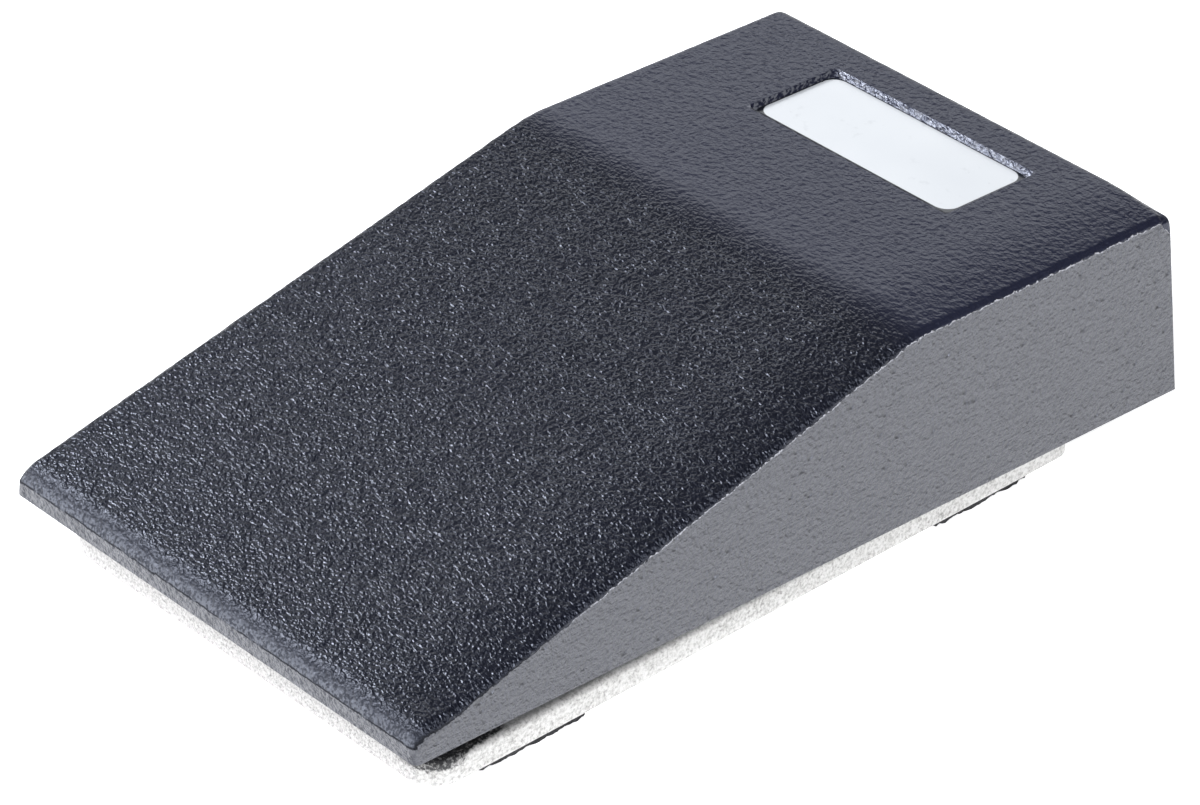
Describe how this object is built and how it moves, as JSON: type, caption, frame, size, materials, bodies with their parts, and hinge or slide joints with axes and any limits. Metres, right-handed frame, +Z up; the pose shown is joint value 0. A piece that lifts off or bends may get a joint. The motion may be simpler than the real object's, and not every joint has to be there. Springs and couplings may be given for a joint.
{
  "type": "industrial foot switch",
  "caption": "Single-pedal industrial foot switch: wedge-shaped cast treadle hinged on a flat cast base with rubber pads, and a snap-action switch inside.",
  "frame": {"origin": "middle of the underside of the object, at the height of the surface it stands on", "axes": "+Z up, +Y towards the heel with the hinge and cord inlet, +X to the right seen from the nose"},
  "size_m": [0.074, 0.1264, 0.0315],
  "materials": {
    "treadle_paint": "dark textured paint on a cast treadle, sides ground and thinly painted",
    "label": "plain white sticker",
    "steel": "zinc plated",
    "base_metal": "bright rough casting",
    "pad_rubber": "black foam rubber",
    "spring_steel": "bright spring wire",
    "insulating_board": "grey fish paper",
    "switch_plastic": "black phenolic",
    "cover_plastic": "dark brown phenolic",
    "button_plastic": "red moulded button",
    "blade_copper": "beryllium copper strip",
    "contact_silver": "silver alloy contact",
    "brass": "brass strip",
    "earth_screw": "green earth screw",
    "bushing_plastic": "black nylon bushing"
  },
  "bodies": {
    "base": {"base_casting": "base_metal", "foot_pad_front_right": "pad_rubber", "foot_pad_front_left": "pad_rubber", "foot_pad_rear_right": "pad_rubber", "foot_pad_rear_left": "pad_rubber", "return_spring": "spring_steel", "insulator_sheet": "insulating_board", "switch_case": "switch_plastic", "switch_cover": "cover_plastic", "switch_cover_screws": "steel", "terminal_common": "brass", "terminal_normally_closed": "brass", "terminal_normally_open": "brass", "fixed_contact_closed": "contact_silver", "fixed_contact_open": "contact_silver", "terminal_screws": "steel", "switch_mounting_screws": "steel", "switch_lockwashers": "steel", "ground_screw": "earth_screw", "ground_washer": "steel", "cord_bushing": "bushing_plastic"},
    "treadle": {"treadle_casting": "treadle_paint", "rating_label": "label", "hinge_pin": "steel", "actuator_screw": "steel", "actuator_locknut": "steel"},
    "switch_button_body": {"switch_button": "button_plastic", "switch_overtravel_spring": "spring_steel"},
    "switch_pin_body": {"switch_pin": "button_plastic"},
    "blade_body": {"contact_blade": "blade_copper", "moving_contact": "contact_silver"}
  },
  "joints": [
    {"name": "treadle_hinge", "type": "hinge", "parent": "base", "child": "treadle", "pos_m": [0, 0.03483, 0.0172], "axis": [1, 0, 0], "range_deg": [0, 1.88], "stiffness_Nm_per_rad": 10, "springref_deg": -1.72, "deforming": ["return_spring"]},
    {"name": "button_slide", "type": "slide", "parent": "base", "child": "switch_button_body", "axis": [0, 0, -1], "range_m": [0, 0.00073], "deforming": ["switch_overtravel_spring"]},
    {"name": "pin_slide", "type": "slide", "parent": "base", "child": "switch_pin_body", "axis": [0, 0, -1], "range_m": [0, 0.00026]},
    {"name": "blade_pivot", "type": "hinge", "parent": "base", "child": "blade_body", "pos_m": [-0.014, 0.01273, 0.0104], "axis": [0, 1, 0], "range_deg": [0, 1.03]}
  ],
  "couplings": [
    {"joint": "button_slide", "follows": "treadle_hinge", "m_per_rad": 0.0221},
    {"joint": "pin_slide", "follows": "treadle_hinge", "m_per_rad": 0.007558},
    {"joint": "blade_pivot", "follows": "treadle_hinge", "ratio": 0.54016}
  ]
}
